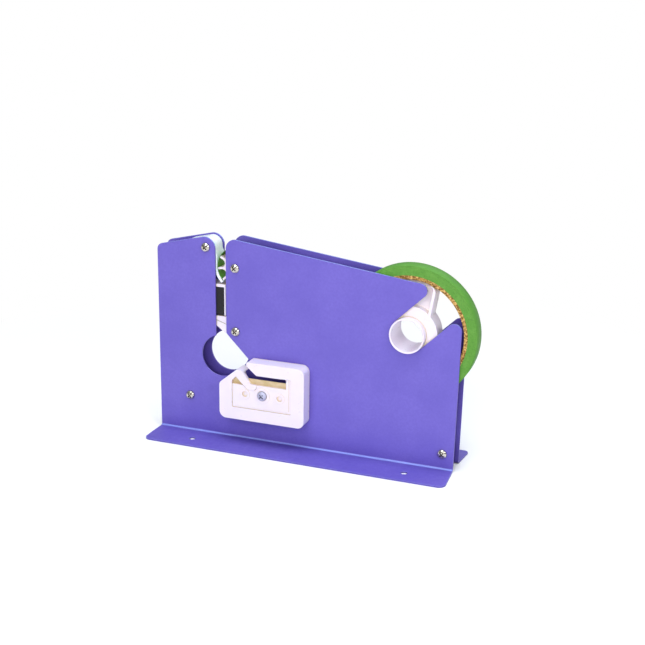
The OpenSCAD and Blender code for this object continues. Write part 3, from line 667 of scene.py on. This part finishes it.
roll_middle = Vector((roll_centre.x, roll_centre.z))
span = roll_middle - WHEEL_CENTRE
cross_turn = math.asin((WEB_RADIUS + roll_outer + LINE_CLEARANCE) / span.length)
web_turn = math.atan2(span.y, span.x) - cross_turn
web_side = Vector((-math.sin(web_turn), math.cos(web_turn)))
roll_end = roll_middle - web_side * (roll_outer + END_CLEARANCE)
wheel_end = WHEEL_CENTRE + web_side * WEB_RADIUS
film_line = [roll_end.lerp(wheel_end, i / STRAIGHT_STEPS) for i in range(STRAIGHT_STEPS)]
first, last = web_turn + math.pi / 2, math.radians(LAST_DEGREES)
for i in range(ROUND_STEPS + 1):
    turn = first + (last - first) * i / ROUND_STEPS
    film_line.append(WHEEL_CENTRE + WEB_RADIUS * Vector((math.cos(turn), math.sin(turn))))
print("straight stretch:", round((wheel_end - roll_end).length / MM, 1), "mm")

# %% [markdown]
# ## The film
#
# At each point of the path the strip gets four corners, half its thickness to either side of the
# path, and the skin joins them. A flat strip with a solidify modifier would look the same, but
# this is a closed mesh from the start.

# %% Film
WEB_HALF = 5.95 * MM
WEB_MIDDLE = 2.2 * MM
FILM = 0.08 * MM

film_rows = []
for i, point in enumerate(film_line):
    ahead = film_line[min(i + 1, len(film_line) - 1)] - film_line[max(i - 1, 0)]
    out = Vector((-ahead.y, ahead.x)).normalized() * FILM / 2
    film_rows.append([(p.x, WEB_MIDDLE + y, p.y) for p, y in (
        (point + out, -WEB_HALF), (point + out, WEB_HALF),
        (point - out, WEB_HALF), (point - out, -WEB_HALF))])
tape_film = skin("tape_film", film_rows)
smooth_by_angle(tape_film)
stand_in(tape_film, "tape_web", "frame", tape_tread)

# %% [markdown]
# ## The path of a spring
#
# Each lever is brought back by a coil of steel wire round its post, with one leg behind a peg and
# the other through the rear plate. A coil is a circle that climbs as it turns, so a formula gives
# its points. Placing them by hand would never give an even coil.

# %% Spring path
COIL_RADIUS = 5.3 * MM
COIL_PITCH = 1.35 * MM
COIL_START = 4.4 * MM
FULL_TURNS = 2
STEPS_PER_TURN = 36
LEG_BEND = 1.2 * MM
LEG_CORNER = ((1, 0), (0.35, 0.3), (0, 0.8))    # back along the leg and up, in leg bends
REAR_FACE = 10.3 * MM


def spring_line(post, peg, far):
    """Points of a spring: peg, coil, leg and the end through the rear plate (X-Z places)."""
    to_peg, to_far = peg - post, far - post
    enter = math.atan2(to_peg.y, to_peg.x) + math.acos(COIL_RADIUS / to_peg.length)
    leave = math.atan2(to_far.y, to_far.x) - math.acos(COIL_RADIUS / to_far.length)
    sweep = math.tau * FULL_TURNS + (leave - enter) % math.tau
    steps = round(sweep / math.tau * STEPS_PER_TURN)
    climb = COIL_PITCH * sweep / math.tau
    top = COIL_START + climb
    line = [Vector((peg.x, COIL_START, peg.y))]
    for i in range(steps + 1):
        a = enter + sweep * i / steps
        line.append(Vector((post.x + COIL_RADIUS * math.cos(a),
                            COIL_START + climb * i / steps,
                            post.y + COIL_RADIUS * math.sin(a))))
    off = post + COIL_RADIUS * Vector((math.cos(leave), math.sin(leave)))
    bend = (off - far).normalized() * LEG_BEND
    for along, rise in LEG_CORNER:
        line.append(Vector((far.x + along * bend.x, top + rise * LEG_BEND,
                            far.y + along * bend.y)))
    return line + [Vector((far.x, REAR_FACE, far.y))]


print("coils of", FULL_TURNS, "turns and more,", round(2 * COIL_RADIUS / MM, 1), "mm across")

# %% [markdown]
# ## The wires
#
# A round section swept along the path gives the wire, with more sides than the solid has. A
# curve with a round bevel could do it, but the skin closes the ends as well. The press arm pushes
# on its spring's leg, so that leg is a piece of its own and turns with the arm, and the coil
# stays. They overlap by one step, so they still meet when the arm moves.

# %% Springs
WIRE = 0.9 * MM
WIRE_SIDES = 14
ANY_SIDE = Vector((0.31, 0.2, 0.93))    # any direction that isn't along the wire


def wire(name, line, body, node):
    """A round wire swept along a line, closed at both ends."""
    rows = []
    side = ANY_SIDE
    for i, point in enumerate(line):
        ahead = (line[min(i + 1, len(line) - 1)] - line[max(i - 1, 0)]).normalized()
        side = (side - ahead * side.dot(ahead)).normalized()
        other = ahead.cross(side)
        turns = [math.tau * k / WIRE_SIDES for k in range(WIRE_SIDES)]
        rows.append([point + WIRE / 2 * (side * math.cos(a) + other * math.sin(a))
                     for a in turns])
    piece = skin(name, rows)
    smooth_by_angle(piece)
    stand_in(piece, node, body, spring_steel)


ARM_POST = Vector((-89.4, 28.2)) * MM
press_path = spring_line(ARM_POST, peg=ARM_POST + Vector((-5.2, 17.0)) * MM,
                         far=ARM_POST + Vector((8, -12)) * MM)
wire("press_coil", press_path[1:], "frame", "press_spring")
wire("press_coil_leg", press_path[:3], "press", "press_spring")

LEVER_POST = Vector((-52.6, 81.2)) * MM
cutter_path = spring_line(LEVER_POST, peg=LEVER_POST + Vector((12.5, 2.2)) * MM,
                          far=LEVER_POST + Vector((14, 12)) * MM)
wire("cutter_coil", cutter_path, "frame", "cutter_spring")

# %% [markdown]
# ## The floor
#
# The machine stands on a plain pale floor. The floor is white to the camera and to shiny metal,
# and greyer to the rest of the scene, so that it does not light the machine from below too
# strongly. Stronger lamps could make a grey floor white, but they would burn out the plastic.
# Right under the flanges the floor is painted darker, a painted shadow where almost no light gets
# in.

# %% Floor
FLOOR_REACH = 6.0
floor_mesh = bpy.data.meshes.new("floor")
floor_mesh.from_pydata([(x * FLOOR_REACH, y * FLOOR_REACH, 0)
                        for x, y in ((-1, -1), (1, -1), (1, 1), (-1, 1))], [], [(0, 1, 2, 3)])
floor = bpy.data.objects.new("floor", floor_mesh)
bpy.context.collection.objects.link(floor)

floor_finish = Finish("pale_floor", (0.62, 0.62, 0.64, 1), 0.9, Specular_IOR_Level=0.1)
ray = floor_finish.node("ShaderNodeLightPath")
seen = floor_finish.node("ShaderNodeMath", operation="MAXIMUM")
floor_finish.join(ray.outputs["Is Camera Ray"], seen.inputs[0])
floor_finish.join(ray.outputs["Is Glossy Ray"], seen.inputs[1])
floor_finish.tint(seen.outputs["Value"], (0.99, 0.99, 1.0, 1))
# Painted shadow: the floor darkens where it is closed in under the machine.
floor_finish.paint_hollow_shade(6 * MM, 0.1, 0.6, linear(120, 118, 110), 0.9)
dress(floor, floor_finish)
print("floor:", 2 * FLOOR_REACH, "m wide")

# %% [markdown]
# ## White paper round the machine
#
# Away from the machine the floor fades into plain white paper, so that no horizon shows, and
# close to it it keeps the shadow. A backdrop bent upwards would hide the horizon too, but would
# need light of its own to look white. The fade is a glow that depends on the distance from the
# origin and is there for the camera and for shiny metal only, so it lights nothing else.

# %% Fade to white
FADE_START, FADE_END = 0.16, 0.42
distance = floor_finish.node("ShaderNodeVectorMath", operation="LENGTH")
floor_finish.join(floor_finish.where, distance.inputs[0])
far_out = floor_finish.remap(distance.outputs["Value"], FADE_START, FADE_END, 0, 1)
far_seen = floor_finish.node("ShaderNodeMath", operation="MULTIPLY")
floor_finish.join(far_out, far_seen.inputs[0])
floor_finish.join(seen.outputs["Value"], far_seen.inputs[1])
paper = floor_finish.node("ShaderNodeEmission", Strength=1.0)
fade = floor_finish.node("ShaderNodeMixShader")
floor_finish.join(far_seen.outputs["Value"], fade.inputs["Fac"])
floor_finish.join(floor_finish.shader.outputs["BSDF"], fade.inputs[1])
floor_finish.join(paper.outputs["Emission"], fade.inputs[2])
floor_finish.join(fade.outputs["Shader"],
                  floor_finish.tree.nodes["Material Output"].inputs["Surface"])
print("the floor fades between", FADE_START, "and", FADE_END, "m")

# %% [markdown]
# ## The sky
#
# The camera sees plain white behind the machine. Everything else sees a sky that is dark near
# the ground and bright above. It fills the shadows softly and gives the screws their contrast,
# which an even white sky would not do.

# %% Sky
SKY_STRENGTH = 0.42
SKY_LOW, SKY_HIGH = (0.34, 0.33, 0.33, 1), (1.25, 1.32, 1.4, 1)
FULL_HEIGHT = 0.9

sky = bpy.data.worlds.new("studio_sky")
bpy.context.scene.world = sky
sky.use_nodes = True
air = sky.node_tree
join = air.links.new

split = add_node(air, "ShaderNodeSeparateXYZ")
join(add_node(air, "ShaderNodeTexCoord").outputs["Generated"], split.inputs["Vector"])
rise = add_node(air, "ShaderNodeMapRange", From_Min=0.0, From_Max=FULL_HEIGHT)
join(split.outputs["Z"], rise.inputs["Value"])
shade = add_node(air, "ShaderNodeMix", data_type="RGBA", A=SKY_LOW, B=SKY_HIGH)
join(rise.outputs["Result"], shade.inputs["Factor"])
sky_light = air.nodes["Background"]
sky_light.inputs["Strength"].default_value = SKY_STRENGTH
join(shade.outputs["Result"], sky_light.inputs["Color"])

sky_seen = add_node(air, "ShaderNodeBackground", Color=(1, 1, 1, 1), Strength=1.0)
path = add_node(air, "ShaderNodeLightPath")
either = add_node(air, "ShaderNodeMath", operation="MAXIMUM")
join(path.outputs["Is Camera Ray"], either.inputs[0])
join(path.outputs["Is Transmission Ray"], either.inputs[1])
choose = add_node(air, "ShaderNodeMixShader")
join(either.outputs["Value"], choose.inputs["Fac"])
join(sky_light.outputs["Background"], choose.inputs[1])
join(sky_seen.outputs["Background"], choose.inputs[2])
join(choose.outputs["Shader"], air.nodes["World Output"].inputs["Surface"])
print("sky:", len(air.nodes), "nodes")

# %% [markdown]
# ## The lamps
#
# One soft lamp stands high in front, so that the trimmer box throws a short shadow downwards.
# One stands near the camera and lights the spool inside its slot, and one above brightens the
# flange and the fold. The box's right side is darker and bluish, from a weaker, cooler lamp. The
# last one lifts the back, for views from behind. Small lamps would throw hard shadows, so each
# one is a wide square.

# %% Lamps
def soft_lamp(name, place, aim, size, watts, colour):
    """A square lamp at a place, turned to look at a point."""
    lamp = bpy.data.lights.new(name, "AREA")
    lamp.shape = "SQUARE"
    lamp.size = size
    lamp.energy = watts
    lamp.color = colour
    stand = bpy.data.objects.new(name, lamp)
    bpy.context.collection.objects.link(stand)
    stand.location = place
    stand.rotation_euler = (Vector(aim) - Vector(place)).to_track_quat("-Z", "Y").to_euler()
    print(f"{name}: {watts} W, {size} m wide")


soft_lamp("key_lamp", (-0.05, -1.15, 0.85), (0, 0, 0.07), 0.6, 5.6, (1.0, 0.99, 1.0))
soft_lamp("front_lamp", (0.42, -1.25, 0.48), (0, 0, 0.08), 0.3, 7.0, (1.0, 0.99, 0.98))
soft_lamp("top_lamp", (0.05, -0.2, 1.3), (0, 0, 0.07), 0.7, 7.5, (0.86, 0.93, 1.0))
soft_lamp("fill_lamp", (1.0, -0.75, 0.6), (0, 0, 0.08), 0.6, 4.0, (0.92, 0.93, 1.0))
soft_lamp("back_lamp", (0.2, 1.0, 0.9), (0, 0, 0.1), 0.8, 3.0, (0.95, 0.98, 1.0))

# %% [markdown]
# ## Last steps
#
# The view stays plain, without any colour grading.

# %% Finish
bpy.context.scene.view_settings.view_transform = "Standard"
